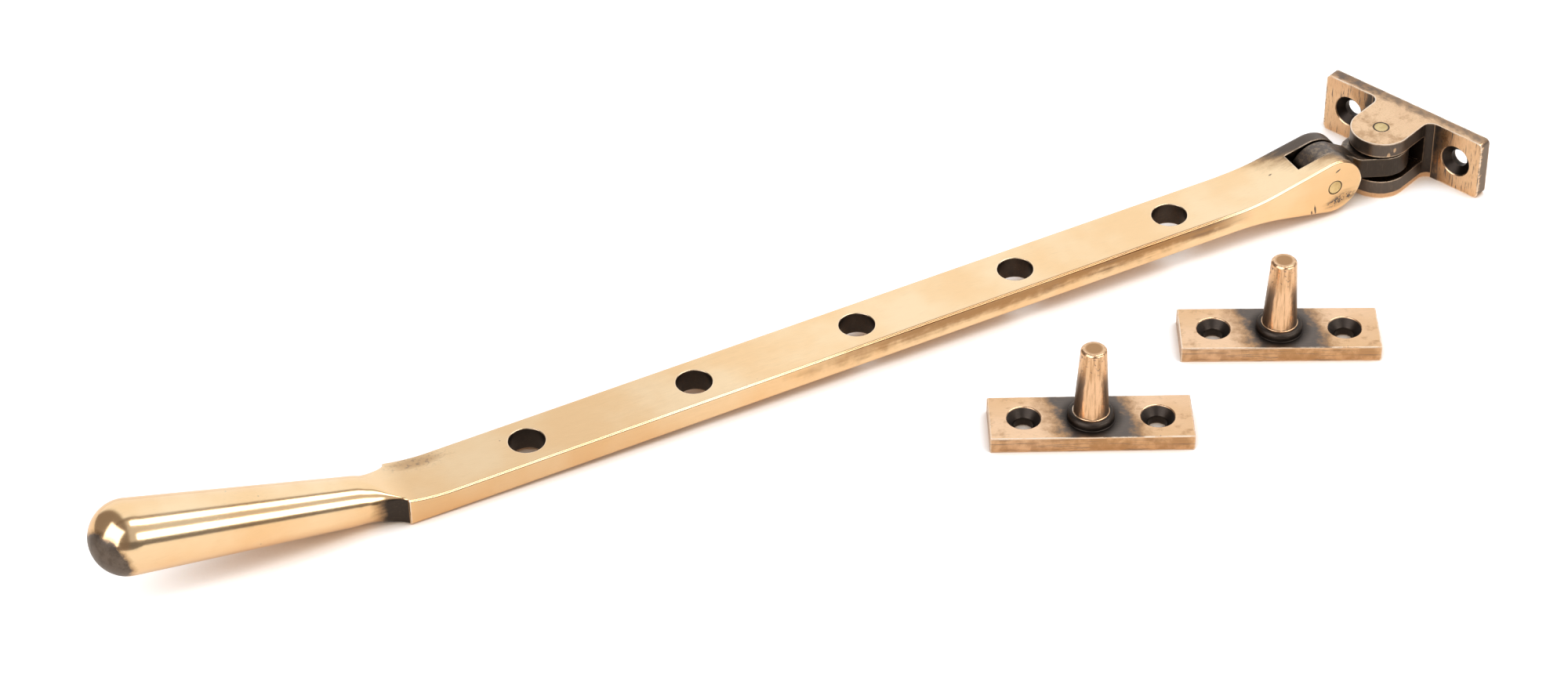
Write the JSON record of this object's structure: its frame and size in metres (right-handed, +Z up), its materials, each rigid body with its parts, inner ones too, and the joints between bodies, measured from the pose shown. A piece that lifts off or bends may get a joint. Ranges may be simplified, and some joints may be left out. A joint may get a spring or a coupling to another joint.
{
  "type": "casement stay",
  "caption": "Peg-type casement stay: cranked round handle, flat bar with peg holes and a forked end on a crossed-tongue link and screw-on bracket, with two stay pins.",
  "frame": {"origin": "middle of the bracket's back face, which is screwed to the window", "axes": "+X out of the bracket's back face, away from the arm; +Y along the bracket's plate; +Z up. The set lies on a level surface at z = -7.5 mm, and the arm points away from the bracket, 21 degrees off the -X axis"},
  "size_m": [0.3064, 0.1577, 0.0236],
  "materials": {
    "bronze": "polished bronze, worn bright on its edges, with dark ageing left in the corners and holes",
    "aged_bronze": "bronze darkened by age, rubbed bright only on its edges",
    "rivet_brass": "brass rivets filed flush, paler and yellower than the bronze"
  },
  "bodies": {
    "arm": {"stay_arm": "bronze", "lift_rivet": "rivet_brass", "stay_pin_1": "bronze", "stay_pin_2": "bronze"},
    "link": {"link": "aged_bronze"},
    "bracket": {"bracket": "bronze", "swing_rivet": "rivet_brass"}
  },
  "joints": [
    {"name": "lift", "type": "hinge", "parent": "arm", "child": "link", "pos_m": [-0.02751, 0.00588, 0.0005], "axis": [0.3584, 0.9336, 0], "range_deg": [-90, 90]},
    {"name": "swing", "type": "hinge", "parent": "link", "child": "bracket", "pos_m": [-0.0122, 0, 0.0005], "axis": [0, 0, 1], "range_deg": [-111, 69]}
  ]
}
